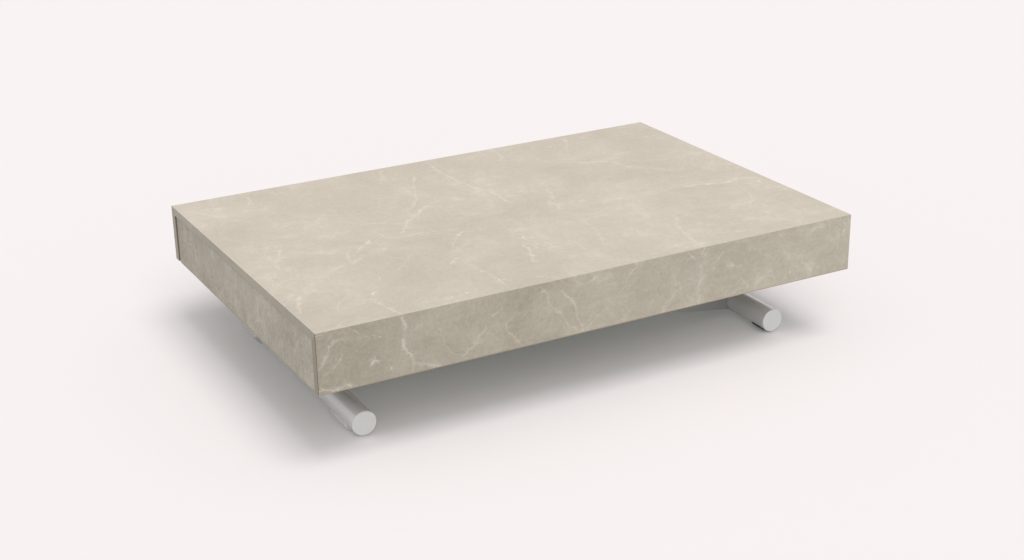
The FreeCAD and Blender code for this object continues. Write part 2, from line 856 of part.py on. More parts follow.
# Release shaft: turns in both tracks, and its tongue pushes the pin in the spring's base
handle_face = f"({inner_depth} - handle_setback)"
shaft_end = f"({track_outer} + shaft_overhang)"
shaft = Piece("release_shaft", "-inner_bar_offset", "0", shaft_level)
shaft.pad(
    "XZ",
    f"{handle_face} + {shaft_end}",
    circle("0", "0", "shaft_diameter / 2"),
    lift=f"({shaft_end} - {handle_face}) / 2",
)
shaft.pad(
    "XZ",
    "tongue_width",
    rectangle("-tongue_thickness / 2", "0", "tongue_thickness / 2", "tongue_height"),
)

handle = Piece("release_handle", "-inner_bar_offset", f"handle_width / 2 - {handle_face}", shaft_level)
handle.pad("XZ", "handle_width", circle("0", "0", "handle_hub / 2"))
handle.pad(
    "XZ",
    "handle_width",
    rectangle("-handle_length", "-handle_thickness / 2", "0", "handle_thickness / 2"),
)
handle.pad("XZ", "handle_width", circle("-handle_length", "0", "handle_lip / 2"))
handle.pocket("XZ", "handle_width + cut_overrun", circle("0", "0", "shaft_diameter / 2 + fit_gap"))

pin_start = "(tongue_thickness / 2 + pin_gap - inner_bar_offset)"
pin_end = f"({anchor_face} + pin_entry)"
Piece("release_pin", "0", "0", track_axis).turn(
    "XZ",
    "H",
    rectangle(pin_start, "0", pin_end, "pin_diameter / 2"),
)

doc.recompute()
for thing in doc.Objects:
    if {"Invalid", "Error"} & set(thing.State):
        raise RuntimeError(f"{thing.Label} failed: {thing.State}")
for node in nodes:
    if node.Shape.isNull() or not node.Shape.isValid():
        raise RuntimeError(f"{node.Label} has no valid shape")

os.makedirs("parts", exist_ok=True)
for node in nodes:
    node.Shape.exportStep(os.path.join("parts", f"{node.Label}.step"))
    print(node.Label, len(node.Shape.Solids), round(node.Shape.Volume))
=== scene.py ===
import math

import bpy
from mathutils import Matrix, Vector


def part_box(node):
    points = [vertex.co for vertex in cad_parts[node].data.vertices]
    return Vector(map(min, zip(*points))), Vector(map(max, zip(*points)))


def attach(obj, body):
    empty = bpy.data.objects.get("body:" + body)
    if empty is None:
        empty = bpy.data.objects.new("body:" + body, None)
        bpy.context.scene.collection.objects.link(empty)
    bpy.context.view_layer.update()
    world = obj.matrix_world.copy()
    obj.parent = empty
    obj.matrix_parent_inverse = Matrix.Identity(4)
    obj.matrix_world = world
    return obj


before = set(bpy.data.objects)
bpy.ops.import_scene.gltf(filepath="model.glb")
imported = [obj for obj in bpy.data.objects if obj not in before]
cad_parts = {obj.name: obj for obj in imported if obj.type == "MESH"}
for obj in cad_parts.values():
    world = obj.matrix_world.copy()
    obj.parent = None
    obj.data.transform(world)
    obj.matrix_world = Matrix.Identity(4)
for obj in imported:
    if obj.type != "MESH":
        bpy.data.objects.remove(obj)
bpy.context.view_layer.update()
bpy.ops.object.select_all(action="DESELECT")


# Table top: particle board under a stone-effect laminate with cream veins.
# Its long edges are mitred, so that the veins run on over the arris and down the aprons.
class Socket:
    """A node's output. Arithmetic on it adds Math nodes to the same finish."""

    def __init__(self, socket):
        self.socket = socket

    def node(self, kind, settings, inputs, output=0):
        tree = self.socket.id_data
        made = tree.nodes.new("ShaderNode" + kind)
        for setting, value in settings.items():
            if setting == "curve":
                made.mapping.extend = "HORIZONTAL"
                points = made.mapping.curves[0].points
                while len(points) < len(value):
                    points.new(0.5, 0.5)
                for point, spot in zip(points, value):
                    point.location = spot
                    point.handle_type = "AUTO_CLAMPED"
                made.mapping.update()
            else:
                setattr(made, setting, value)
        for key, value in inputs.items():
            if isinstance(value, Socket):
                tree.links.new(value.socket, made.inputs[key])
            else:
                made.inputs[key].default_value = value
        return Socket(made.outputs[output]) if made.outputs else None

    def maths(self, operation, *values):
        return self.node("Math", {"operation": operation}, dict(enumerate(values)))

    def __add__(self, other):
        return self.maths("ADD", self, other)

    def __sub__(self, other):
        return self.maths("SUBTRACT", self, other)

    def __rsub__(self, other):
        return self.maths("SUBTRACT", other, self)

    def __mul__(self, other):
        return self.maths("MULTIPLY", self, other)

    def __pow__(self, other):
        return self.maths("POWER", self, other)

    def __abs__(self):
        return self.maths("ABSOLUTE", self)

    def __lt__(self, other):
        return self.maths("LESS_THAN", self, other)

    def __gt__(self, other):
        return self.maths("GREATER_THAN", self, other)

    __radd__ = __add__
    __rmul__ = __mul__

    def split(self):
        first = self.node("SeparateXYZ", {}, {0: self})
        return [Socket(output) for output in first.socket.node.outputs]

    def join(self, *parts):
        return self.node("CombineXYZ", {}, dict(enumerate(parts)))

    def stretch(self, *scale, turn=0):
        return self.node("Mapping", {}, {"Vector": self, "Rotation": (0, 0, turn), "Scale": scale})

    def noise(self, scale, detail=2, roughness=0.5, output="Fac"):
        inputs = {"Vector": self, "Scale": scale, "Detail": detail, "Roughness": roughness}
        return self.node("TexNoise", {}, inputs, output)

    def shift(self, other, amount):
        """This place moved by another colour or vector, times the amount."""
        inputs = {0: other, 1: (amount, amount, amount), 2: self}
        return self.node("VectorMath", {"operation": "MULTIPLY_ADD"}, inputs)

    def ramp(self, low, high, start=0, end=1, shape="SMOOTHSTEP"):
        inputs = {"Value": self, "From Min": low, "From Max": high, "To Min": start, "To Max": end}
        return self.node("MapRange", {"interpolation_type": shape}, inputs)

    def mix(self, first, second):
        """The first colour where this mask is 0, the second where it is 1."""
        colours = {0: self, 6: first, 7: second}
        return self.node("Mix", {"data_type": "RGBA"}, colours, 2)

    def bump(self, height, strength):
        return self.node("Bump", {}, {"Height": self, "Distance": height, "Strength": strength})


def new_finish(name):
    """An empty material and its Object coordinates."""
    material = bpy.data.materials.new(name)
    material.use_nodes = True
    material.node_tree.nodes.clear()
    return material, Socket(material.node_tree.nodes.new("ShaderNodeTexCoord").outputs["Object"])


def coat(material, place, inputs, *nodes):
    """Closes a finish with its shader, puts it on the pieces named and gives it back."""
    place.node("OutputMaterial", {}, {"Surface": place.node("BsdfPrincipled", {}, inputs)})
    for node in nodes:
        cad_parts[node].material_slots[0].material = material
    return material


millimetre = 0.001
vein_sharpness = 4


def printed_vein(sheet, shake, girth, reach, strength, *points):
    """A vein along points in millimetres on the sheet, as a mask from 0 to its strength."""
    (u_start, v_start), (u_end, v_end) = points[0], points[-1]
    length = math.hypot(u_end - u_start, v_end - v_start)
    turn = math.atan2(v_end - v_start, u_end - u_start)
    route = []
    for u, v in points:
        ahead = (u - u_start) * math.cos(turn) + (v - v_start) * math.sin(turn)
        aside = (v - v_start) * math.cos(turn) - (u - u_start) * math.sin(turn)
        route.append((ahead / length, aside))
    run = sheet.node("Mapping", {"vector_type": "TEXTURE"}, {
        "Vector": sheet,
        "Location": (u_start * millimetre, v_start * millimetre, 0),
        "Rotation": (0, 0, turn),
        "Scale": (length * millimetre, millimetre, 1),
    })
    along, side = run.split()[:2]
    # A curve node gives values from 0 to 1, so the vein's swing is scaled to fit round 0.5.
    swing = 1 + 2.2 * max(abs(aside) for step, aside in route)
    curve = [(step, 0.5 + aside / swing) for step, aside in route]
    middle = along.node("FloatCurve", {"curve": curve}, {"Value": along})
    fade = along.node("FloatCurve", {"curve": [(0, 0), (0.12, 0.9), (0.8, 1), (1, 0)]}, {"Value": along})
    gap = girth * abs(side + shake - (middle - 0.5) * swing)
    slope = gap.ramp(0, reach, strength ** (1 / vein_sharpness), 0, "LINEAR")
    return slope ** vein_sharpness * fade


dark_stone = (0.412, 0.364, 0.290, 1)
pale_stone = (0.784, 0.712, 0.596, 1)
vein_cream = (0.85, 0.79, 0.685, 1)


def stone_print(sheet, depth, painted_shading, *veins):
    """The laminate's print on a sheet: its colour and height. Depth is its contrast, and the painted
    shading is taken off its tone: painted shade above 0, painted light below 0.
    """
    bent = sheet.shift(sheet.noise(7, 4, 0.6, "Color"), 0.11)
    torn = bent.shift(bent.noise(38, 3, 0.6, "Color"), 0.02)
    cloud = bent.noise(5, 6, 0.6)
    mottle = bent.noise(22, 6, 0.7)
    grit = torn.noise(130, 5, 0.8)
    streak = sheet.stretch(7, 95, 1, turn=0.12).noise(1, 4, 0.6)
    # Fine veins: two nets of cracks, each torn, broken and kept to its own patches.
    edges = {"feature": "DISTANCE_TO_EDGE", "voronoi_dimensions": "2D"}
    patch = sheet.noise(4.5, 3, 0.6)
    hair = torn.node("TexVoronoi", edges, {"Vector": torn, "Scale": 9}).ramp(0, 0.022, 1, 0)
    crack = torn.node("TexVoronoi", edges, {"Vector": torn, "Scale": 4.2}).ramp(0, 0.012, 1, 0)
    broken = torn.noise(52, 5, 0.75).ramp(0.36, 0.62, 0.2, 1)
    pale = 0.24 * broken * (hair * patch.ramp(0.48, 0.62) + crack * patch.ramp(0.52, 0.38))
    pale = pale + 0.22 * mottle.ramp(0.5, 0.72) * cloud.ramp(0.46, 0.62)
    pale = pale + 0.6 * torn.noise(80, 2).ramp(0.68, 0.76) * mottle.ramp(0.46, 0.62)
    pale = depth * pale
    # Main veins: drawn along their points, shaken off their lines and of uneven girth.
    marked = (0.42 + 0.22 * depth) * broken
    shake = 26 * (bent.noise(34, 6, 0.75) - 0.5)
    girth = bent.noise(44, 4, 0.7).ramp(0.34, 0.66, 2.2, 0.55)
    for vein in veins:
        pale = pale.maths("MAXIMUM", pale, marked * printed_vein(sheet, shake, girth, *vein))
    spread = 0.5 * cloud + 0.28 * mottle + 0.55 * grit + 0.13 * streak
    # Painted shading: taken off the print's tone, as painted shade where above 0 and painted light below
    # 0.
    tone = 0.5 + depth * (spread - 0.73) - painted_shading
    ground = tone.mix(dark_stone, pale_stone)
    return pale.mix(ground, vein_cream), mottle


# A vein is its reach to either side in millimetres, its strength, and its points on the sheet.
top_veins = (
    (14, 0.95, (-586, -300), (-572, -256), (-562, -232), (-540, -214)),
    (17, 0.9, (-552, -222), (-538, -216), (-516, -212)),
    (36, 0.45, (-548, -216), (-524, -188), (-504, -172), (-472, -144), (-404, -112)),
    (10, 0.6, (-534, -206), (-504, -172), (-472, -144), (-428, -124), (-404, -116)),
    (11, 0.8, (-404, -122), (-402, -96), (-388, -60), (-372, -50)),
    (20, 0.85, (-408, -122), (-386, -106), (-372, -98)),
    (24, 1, (-372, -64), (-346, -40), (-318, -12)),
    (40, 0.35, (-420, -36), (-388, -34), (-350, -40)),
    (44, 0.45, (-306, 78), (-262, 66), (-222, 36)),
    (26, 0.9, (-252, -20), (-220, 24), (-204, 48), (-168, 76), (-148, 100), (-100, 98)),
    (12, 0.7, (-152, 104), (-124, 92), (-100, 100)),
    (12, 0.75, (-186, 104), (-148, 136), (-128, 168), (-112, 208)),
    (11, 0.7, (-112, 200), (-100, 240), (-88, 264), (-64, 316)),
    (14, 0.5, (-298, 30), (-290, 4), (-284, -24), (-264, -36)),
    (24, 0.45, (-288, -32), (-248, -32), (-200, -36), (-164, -44), (-136, -64)),
    (12, 0.7, (-112, 384), (-124, 352), (-144, 312)),
    (11, 0.8, (0, 376), (0, 280), (4, 232), (12, 192), (20, 144)),
    (14, 0.9, (10, 204), (16, 160), (30, 124), (32, 72), (30, 24)),
    (18, 0.95, (-26, 204), (-14, 208), (0, 212)),
    (13, 0.9, (-200, -144), (-184, -120), (-160, -88), (-140, -72), (-120, -80), (-98, -88)),
    (44, 0.5, (-224, -176), (-184, -150), (-150, -130), (-104, -112)),
    (20, 0.9, (-246, -220), (-230, -208), (-214, -194)),
    (14, 0.5, (-368, -200), (-336, -192), (-312, -168), (-284, -132)),
    (12, 0.9, (-210, -236), (-206, -288), (-202, -320), (-204, -376)),
    (14, 0.9, (-42, -136), (-50, -176), (-48, -192), (-72, -208),
     (-76, -240), (-92, -280), (-104, -304)),
    (30, 0.35, (-60, -180), (-58, -196), (-40, -216)),
    (12, 0.6, (34, -186), (26, -232), (24, -300)),
    (13, 0.6, (188, 156), (168, 124), (144, 108), (104, 84), (78, 90)),
    (16, 0.85, (148, 80), (128, 16), (108, 0), (108, -36), (96, -64)),
    (12, 0.5, (96, -64), (108, -112), (104, -160), (92, -232), (72, -280)),
    (13, 0.6, (230, 360), (234, 312), (236, 268), (248, 232)),
    (17, 0.7, (248, 232), (288, 208), (320, 188), (360, 172),
     (376, 140), (392, 100), (424, 72), (464, 32)),
    (13, 0.7, (372, 176), (396, 204), (432, 212)),
    (12, 0.5, (462, 30), (482, 44), (496, 66)),
    (20, 0.95, (392, -30), (404, -60), (440, -72), (472, -84), (504, -92), (552, -86), (584, -106)),
    (46, 0.45, (396, -50), (440, -58), (480, -74), (540, -76)),
    (12, 0.5, (300, -52), (340, -60), (376, -64), (404, -62)),
    (15, 0.7, (244, 30), (272, 18), (304, 22), (340, 30), (388, 26)),
    (13, 0.75, (372, 392), (356, 344), (324, 288)),
    (15, 0.7, (508, -150), (500, -184), (484, -216), (460, -240), (472, -268)),
    (14, 0.6, (296, -268), (320, -304)),
    (14, 0.65, (292, -342), (328, -356), (360, -366)),
    (13, 0.6, (96, -216), (80, -256), (66, -292)),
    (14, 0.8, (-494, 30), (-516, -8), (-536, -48), (-540, -76), (-570, -86), (-574, -108)),
    (20, 0.5, (-594, 356), (-552, 304), (-524, 248), (-460, 190)),
    (18, 0.4, (-580, 144), (-544, 108), (-508, 68)),
    (12, 0.6, (-526, -332), (-512, -300), (-468, -258)),
    (18, 1, (236, -59), (254, -55)),
    (18, 1, (-38, -246), (-18, -241)),
    (18, 0.9, (400, 364), (422, 362)),
    (18, 0.9, (74, 90), (96, 94)),
)
veins_over_front_edge = (
    (18, 0.75, (288, -216), (264, -256), (248, -296), (240, -336),
     (232, -372), (226, -440), (216, -526)),
    (14, 0.9, (-436, -296), (-444, -332), (-440, -360), (-426, -420),
     (-432, -456), (-412, -490), (-412, -526)),
)
veins_over_back_edge = (
    (13, 0.75, (-470, 300), (-440, 352), (-446, 410), (-420, 462), (-424, 526)),
    (14, 0.8, (150, 300), (176, 360), (170, 410), (196, 470), (190, 526)),
)


face_gap = 0.0004
edging_thickness = 0.0016
# The next five names size and colour painted shade: a dark line down the outer corners and dark inner
# faces near the ends.
corner_shade_width = 0.0022
corner_shade_drop = 0.001
recess_shade_depth = 0.012
corner_shade_brown = (0.13, 0.085, 0.05, 1)
recess_shade_brown = (0.26, 0.22, 0.175, 1)
edging_brown = (0.40, 0.31, 0.21, 1), (0.52, 0.42, 0.30, 1)


def edging_strip(place, grain, dark, light):
    """The edging strip's colour, with its grain drawn out by the scales given."""
    return place.stretch(*grain).noise(1, 4, 0.6).mix(dark, light)


def backing_sheet(place):
    """The plain sheet that backs the laminate on the boards' inner faces."""
    return place.noise(120, 4, 0.7).mix((0.60, 0.56, 0.49, 1), (0.70, 0.66, 0.59, 1))


def laminate(material, place, colour, height, gloss, *nodes):
    """Closes a board's finish with the laminate's satin surface."""
    coat(material, place, {
        "Base Color": colour,
        "Roughness": height.ramp(0, 1, 0.44, 0.58),
        "Specular IOR Level": gloss,
        "Normal": height.bump(0.0004, 0.1),
    }, *nodes)


def board_finish(name, depth, painted_shading, veins, *nodes):
    """Laminate folded round the long edges, with edging strips and a plain backing sheet inside."""
    board_low, board_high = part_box("table_top")
    apron_low, apron_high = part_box("front_apron")
    material, place = new_finish(name)
    x, y, z = place.split()
    end = abs(x) > board_high.x - face_gap
    drop = board_high.z - z
    u = x + end * x.maths("SIGN", x) * drop
    v = y + (1 - end) * y.maths("SIGN", y) * drop
    # Painted shade: the print is darkened by the amount given, more towards the left end, and the short
    # end faces are darker too.
    painted_light_and_shade = painted_shading * (x.ramp(0.6, -0.5, 0.3, 0.7) + x.ramp(-0.42, -0.5, 0, 0.4)) + 0.16 * end
    colour, height = stone_print(place.join(u, v, 0), depth, painted_light_and_shade, *veins)
    # Painted shade: a dark line down the outer corner of each end face.
    at_corner = abs(y) > board_high.y - corner_shade_width
    painted_corner_shade = end * at_corner * (z < board_high.z - corner_shade_drop)
    colour = (0.85 * painted_corner_shade).mix(colour, corner_shade_brown)
    lower_edge = z < apron_low.z + edging_thickness
    colour = lower_edge.mix(colour, edging_strip(place, (2, 60, 60), *edging_brown))
    inside = (z < board_low.z + face_gap) * (abs(y) < face_gap - apron_high.y)
    # Painted shade: the inner faces are dark near the ends, where they show in the recess beside the end
    # panels.
    painted_recess_shade = abs(x) > board_high.x - recess_shade_depth
    backing_with_recess_shade = painted_recess_shade.mix(backing_sheet(place), recess_shade_brown)
    laminate(material, place, inside.mix(colour, backing_with_recess_shade), height, 0.35, *nodes)


veins_over_edges = veins_over_front_edge + veins_over_back_edge
board_finish("stone laminate of the top", 1.2, 0, top_veins + veins_over_edges, "table_top")

# Aprons: long boards of the same laminate, mitred and glued under the top's long edges.
# A thin edging strip closes their lower edge. A dark line is painted down the outer corner of their
# ends, and their inner faces are darker near the ends, both as painted shade.
front_veins = (
    (13, 0.75, (-414, -498), (-384, -510), (-352, -520)),
    (13, 0.8, (-597, -474), (-580, -446), (-568, -424), (-540, -423)),
    (12, 0.6, (-588, -488), (-564, -468), (-546, -450)),
    (20, 1, (-500, -486), (-488, -479), (-478, -482)),
    (9, 0.8, (-492, -494), (-487, -466)),
    (17, 0.9, (-598, -505), (-578, -513), (-532, -511)),
    (13, 0.75, (-320, -513), (-292, -496), (-274, -480), (-260, -454)),
    (13, 0.75, (-204, -450), (-216, -476), (-204, -492), (-186, -519)),
    (10, 0.55, (-250, -446), (-222, -430)),
    (15, 0.9, (-104, -420), (-88, -436), (-72, -452), (-66, -480), (-56, -504), (-46, -521)),
    (12, 0.7, (-72, -406), (-48, -420), (-4, -403)),
    (12, 0.65, (188, -403), (210, -426)),
    (44, 0.5, (224, -398), (228, -440), (218, -524)),
    (14, 0.65, (284, -448), (328, -459)),
    (13, 0.65, (320, -484), (346, -510)),
    (14, 0.5, (130, -514), (150, -494), (182, -470)),
    (18, 0.85, (384, -486), (400, -482)),
    (11, 0.5, (545, -402), (542, -452)),
    (13, 0.55, (450, -521), (490, -510)),
)
back_veins = (
    (13, 0.8, (560, 470), (520, 448), (486, 462), (440, 440)),
    (14, 0.8, (330, 520), (316, 480), (290, 462), (282, 426)),
    (13, 0.75, (60, 418), (20, 446), (-24, 440), (-60, 470), (-110, 516)),
    (18, 0.95, (-222, 470), (-240, 474)),
    (12, 0.7, (-300, 512), (-330, 488), (-352, 448)),
    (13, 0.75, (-594, 450), (-560, 470), (-516, 466)),
)
front_veins = front_veins + veins_over_front_edge
back_veins = back_veins + veins_over_back_edge
# The front's print is darkened most and the back's a little, as painted shade.
board_finish("stone laminate of the front", 1.6, 0.34, front_veins, "front_apron")
board_finish("stone laminate of the back", 1.6, 0.1, back_veins, "back_apron")

# End panels: short boards of the same laminate that close the ends and draw the leaves out.
# The print runs down from the top's short edge, and each lower edge has its edging strip.
panel_veins = (
    (46, 0.45, (636, -30), (690, 16), (704, 64)),
    (16, 0.7, (686, -66), (718, -28)),
    (16, 0.7, (696, 100), (716, 134)),
    (15, 0.65, (646, -314), (686, -282)),
    (12, 0.5, (628, 302), (670, 260), (714, 248)),
)
for end, way in (("left", -1), ("right", 1)):
    material, place = new_finish(f"stone laminate of the {end} end")
    x, y, z = place.split()
    board_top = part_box("table_top")[1]
    panel_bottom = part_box(f"{end}_end_panel")[0].z
    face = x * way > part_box("right_end_panel")[1].x - face_gap
    sheet = place.join(board_top.x + board_top.z - z, -way * y, 0)
    # Painted light and shade: the print is lighter towards the front of the left panel and the back of
    # the right one, and a little darker at their other ends.
    painted_light_and_shade = (y * way).ramp(0.3, -0.38, -0.12, 0.03)
    colour, height = stone_print(sheet, 3.1, painted_light_and_shade, *panel_veins)
    lower_edge = z < panel_bottom + edging_thickness
    colour = lower_edge.mix(colour, edging_strip(place, (60, 2, 60), *edging_brown))
    laminate(material, place, face.mix(backing_sheet(place), colour), height, 0.2, f"{end}_end_panel")

# Leaves: flat boards of the same laminate on both faces, screwed to their end panels.
# They lie under the top in one layer, and their edges have the edging strip all round.
# Their print is the top's, 2 m further along the sheet, with some of the same veins.
leaf_print = 2.0
laminate_thickness = 0.0006
shared_veins = slice(8, 20)
leaf_edging = (0.56, 0.50, 0.42, 1), (0.66, 0.60, 0.51, 1)
for end, way in (("left", -1), ("right", 1)):
    material, place = new_finish(f"stone laminate of the {end} leaf")
    x, y, z = place.split()
    low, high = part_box(f"{end}_leaf")
    leaf_veins = [
        (reach, strength, *[(way * u, leaf_print / millimetre + way * v) for u, v in points])
        for reach, strength, *points in top_veins[shared_veins]
    ]
    colour, height = stone_print(place.join(y * way, x + leaf_print, 0), 1.2, 0, *leaf_veins)
    edge = abs(z - (low.z + high.z) / 2) < (high.z - low.z) / 2 - laminate_thickness
    colour = edge.mix(colour, edging_strip(place, (9, 9, 60), *leaf_edging))
    laminate(material, place, colour, height, 0.35, f"{end}_leaf")

# Runners: softwood battens glued and screwed under the leaves' long edges.
# The slides' inner members are screwed to them, so they carry each leaf as it draws out.
material, place = new_finish("planed softwood")
rings = place.shift(place.stretch(2, 12, 12).noise(1, 3, 0.5, "Color"), 0.03).stretch(3, 260, 190)
ring = rings.noise(1, 2, 0.4)
pore = place.stretch(40, 1400, 1400).noise(1, 3, 0.6)
stripe = ring.ramp(0.38, 0.62)
grain = 0.75 * stripe + 0.25 * pore
coat(material, place, {
    "Base Color": grain.mix((0.50, 0.33, 0.17, 1), (0.70, 0.53, 0.33, 1)),
    "Roughness": grain.ramp(0, 1, 0.62, 0.74),
    "Normal": (stripe + pore).bump(0.0002, 0.3),
}, "left_runners", "right_runners")


# Slides: rolled channels of zinc-plated steel, three nested members on each side of a leaf.
# The outer members are screwed to the aprons, and the inner ones to the runners.
def plated_steel(name, drawn, *nodes):
    """Zinc plate with its fine crystals, and lines from drawing or turning along the scales given."""
    material, place = new_finish(name)
    line = place.stretch(*drawn).noise(1, 4, 0.65)
    cells = place.node("TexVoronoi", {}, {"Vector": place, "Scale": 420}, "Color")
    crystal = cells.split()[0]
    stain = place.noise(22, 5, 0.65)
    tone = 0.4 * line + 0.25 * crystal + 0.35 * stain
    return coat(material, place, {
        "Base Color": tone.mix((0.50, 0.50, 0.49, 1), (0.74, 0.74, 0.72, 1)),
        "Metallic": 1.0,
        "Roughness": tone.ramp(0.2, 0.8, 0.44, 0.24),
        "Normal": line.bump(0.00006, 0.3),
    }, *nodes)


slide_steel = plated_steel(
    "plated slide steel", (6, 900, 900),
    "left_slide_outers", "right_slide_outers", "left_slide_middles", "right_slide_middles",
    "left_slide_inners", "right_slide_inners",
)

# Slide screws: pan heads with a cross recess that hold each inner member to its runner.
# They are cold-headed from steel wire and zinc plated, three to a member.
head_radius = 0.0042
head_height = 0.0018
head_rounding = 0.0009
recess_length = 0.0046
recess_width = 0.0012
recess_depth = 0.0011
slide_sheet = 0.0014
web_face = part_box("left_runners")[1].y + slide_sheet


def select_faces(piece, wanted):
    """Leaves the piece in edit mode with only the wanted faces selected."""
    bpy.ops.object.mode_set(mode="EDIT")
    bpy.ops.mesh.select_mode(type="FACE")
    bpy.ops.mesh.select_all(action="DESELECT")
    bpy.ops.object.mode_set(mode="OBJECT")
    for face in piece.data.polygons:
        face.select = wanted(face)
    bpy.ops.object.mode_set(mode="EDIT")


def copy_to(piece, name, place, turn, body, material):
    """A copy of a piece with its own mesh, turned about Z, set in its place and carried by a body."""
    bpy.ops.object.select_all(action="DESELECT")
    piece.select_set(True)
    bpy.context.view_layer.objects.active = piece
    bpy.ops.object.duplicate()
    copy = bpy.context.object
    copy.name = name
    copy.rotation_euler = (0, 0, turn)
    copy.location = place
    bpy.ops.object.transform_apply()
    copy.data.materials.append(material)
    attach(copy, body)


bpy.ops.mesh.primitive_cylinder_add(
    vertices=24, radius=head_radius, depth=head_height,
    location=(0, -head_height / 2, 0), rotation=(math.pi / 2, 0, 0),
)
screw = bpy.context.object
bpy.ops.object.transform_apply()
select_faces(screw, lambda face: face.normal.y < -0.9)
bpy.ops.mesh.bevel(offset=head_rounding, segments=3)
bpy.ops.object.mode_set(mode="OBJECT")
for across, up in ((recess_length, recess_width), (recess_width, recess_length)):
    bpy.ops.object.select_all(action="DESELECT")
    bpy.ops.mesh.primitive_cube_add(size=1, location=(0, -head_height, 0))
    cutter = bpy.context.object
    cutter.scale = (across, 2 * recess_depth, up)
    bpy.ops.object.transform_apply()
    bpy.context.view_layer.objects.active = screw
    cut = screw.modifiers.new("cross recess", "BOOLEAN")
    cut.object = cutter
    bpy.ops.object.modifier_apply(modifier=cut.name)
    bpy.data.objects.remove(cutter)
for end in ("left", "right"):
    low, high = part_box(f"{end}_slide_inners")
    for side, way in (("front", -1), ("back", 1)):
        for number, share in enumerate((0.1, 0.5, 0.9), 1):
            name = f"{end}_{side}_slide_screw_{number}"
            spot = (low.x + share * (high.x - low.x), way * web_face, (low.z + high.z) / 2)
            turn = 0 if side == "front" else math.pi
            copy_to(screw, name, spot, turn, f"{end}_leaf", slide_steel)
bpy.data.objects.remove(screw)


# Frame: two tracks, four crossbars with end plates and the spring's brackets, welded from steel.
# It is screwed to the aprons, and has a light grey powder coat with the fine orange peel of baked paint.
def powder_coat(name, shine, dark, light, *nodes):
    """Baked paint from a dark to a light tone, with its orange peel and rubbed places."""
    material, place = new_finish(name)
    peel = place.noise(620, 2, 0.5)
    patch = place.noise(8, 5, 0.6)
    rub = place.noise(90, 5, 0.75).ramp(0.6, 0.78)
    return coat(material, place, {
        "Base Color": (0.85 * patch + 0.15 * peel - 0.25 * rub).mix(dark, light),
        "Roughness": 0.36 + 0.16 * patch + 0.14 * rub,
        "Specular IOR Level": shine,
        "Coat Weight": shine,
        "Coat Roughness": 0.2,
        "Normal": (peel + 0.3 * rub).bump(0.00012, 0.35),
    }, *nodes)


frame_grey = (0.56, 0.555, 0.54, 1), (0.70, 0.695, 0.68, 1)
powder_coat(
    "frame powder coat", 0.5, *frame_grey,
    "track_front", "track_back", "left_crossbar", "inner_left_crossbar", "inner_right_crossbar",
    "right_crossbar", "end_plates", "spring_brackets",
)

# Screws, axles and the other turned steel: zinc plated, with fine rings from the lathe.
# The screws hold the end plates to the aprons, and the axles carry the arms and the rollers.
plated_steel(
    "plated turned steel", (160, 2600, 160),
    "frame_screws", "fixed_axle", "carriage_axle", "middle_bolts", "left_pivot_rod", "right_pivot_rod",
    "wheel_axles", "release_shaft",
)
plated_steel("plated pin and yoke", (2600, 160, 160), "release_pin", "spring_yoke")

# Gas spring: a drawn steel barrel in black gloss paint, fixed by its base, with a chromed rod.
# The rod pulls the carriage's yoke, and so helps to lift the top.
material, place = new_finish("black gloss paint")
peel = place.noise(380, 2, 0.5)
dust = place.noise(30, 6, 0.7)
scuff = place.stretch(20, 700, 700).noise(1, 3, 0.6).ramp(0.66, 0.74)
coat(material, place, {
    "Base Color": (0.6 * dust + 0.4 * scuff).mix((0.012, 0.012, 0.013, 1), (0.045, 0.045, 0.047, 1)),
    "Roughness": 0.16 + 0.18 * dust + 0.2 * scuff,
    "Normal": peel.bump(0.0001, 0.2),
}, "spring_barrel")

material, place = new_finish("polished chrome")
ground_line = place.stretch(2800, 40, 40).noise(1, 3, 0.6)
smear = place.noise(45, 5, 0.65)
coat(material, place, {
    "Base Color": smear.mix((0.70, 0.71, 0.73, 1), (0.80, 0.80, 0.81, 1)),
    "Metallic": 1.0,
    "Roughness": 0.05 + 0.08 * smear + 0.05 * ground_line,
    "Normal": ground_line.bump(0.00002, 0.2),
}, "spring_rod")

# Black plastic: the release handle, the track rollers, the bushes in the arms' eyes, the discs in
# the foot tubes and the wheel carriers are moulded in black nylon with a fine spark-eroded grain.
material, place = new_finish("black moulded plastic")
spark = place.noise(1500, 3, 0.6)
bloom = place.noise(26, 5, 0.65)
coat(material, place, {
    "Base Color": (0.7 * bloom + 0.3 * spark).mix((0.018, 0.018, 0.018, 1), (0.05, 0.05, 0.049, 1)),
    "Roughness": 0.42 + 0.2 * bloom + 0.08 * spark,
    "Normal": spark.bump(0.00008, 0.4),
}, "release_handle", "track_roller_front", "track_roller_back", "inner_bushes", "outer_bushes",
    "left_rod_discs", "right_rod_discs", "wheel_carrier_front", "wheel_carrier_back")

# Scissor legs: two pairs of flat steel tubes, each pair welded to a round tie tube.
# They turn on bolts at the middle, and have the frame's powder coat.
leg_paint = powder_coat(
    "leg powder coat", 0.5, *frame_grey,
    "inner_arm_front", "inner_arm_back", "outer_arm_front", "outer_arm_back",
    "inner_tie_tube", "outer_tie_tube",
)

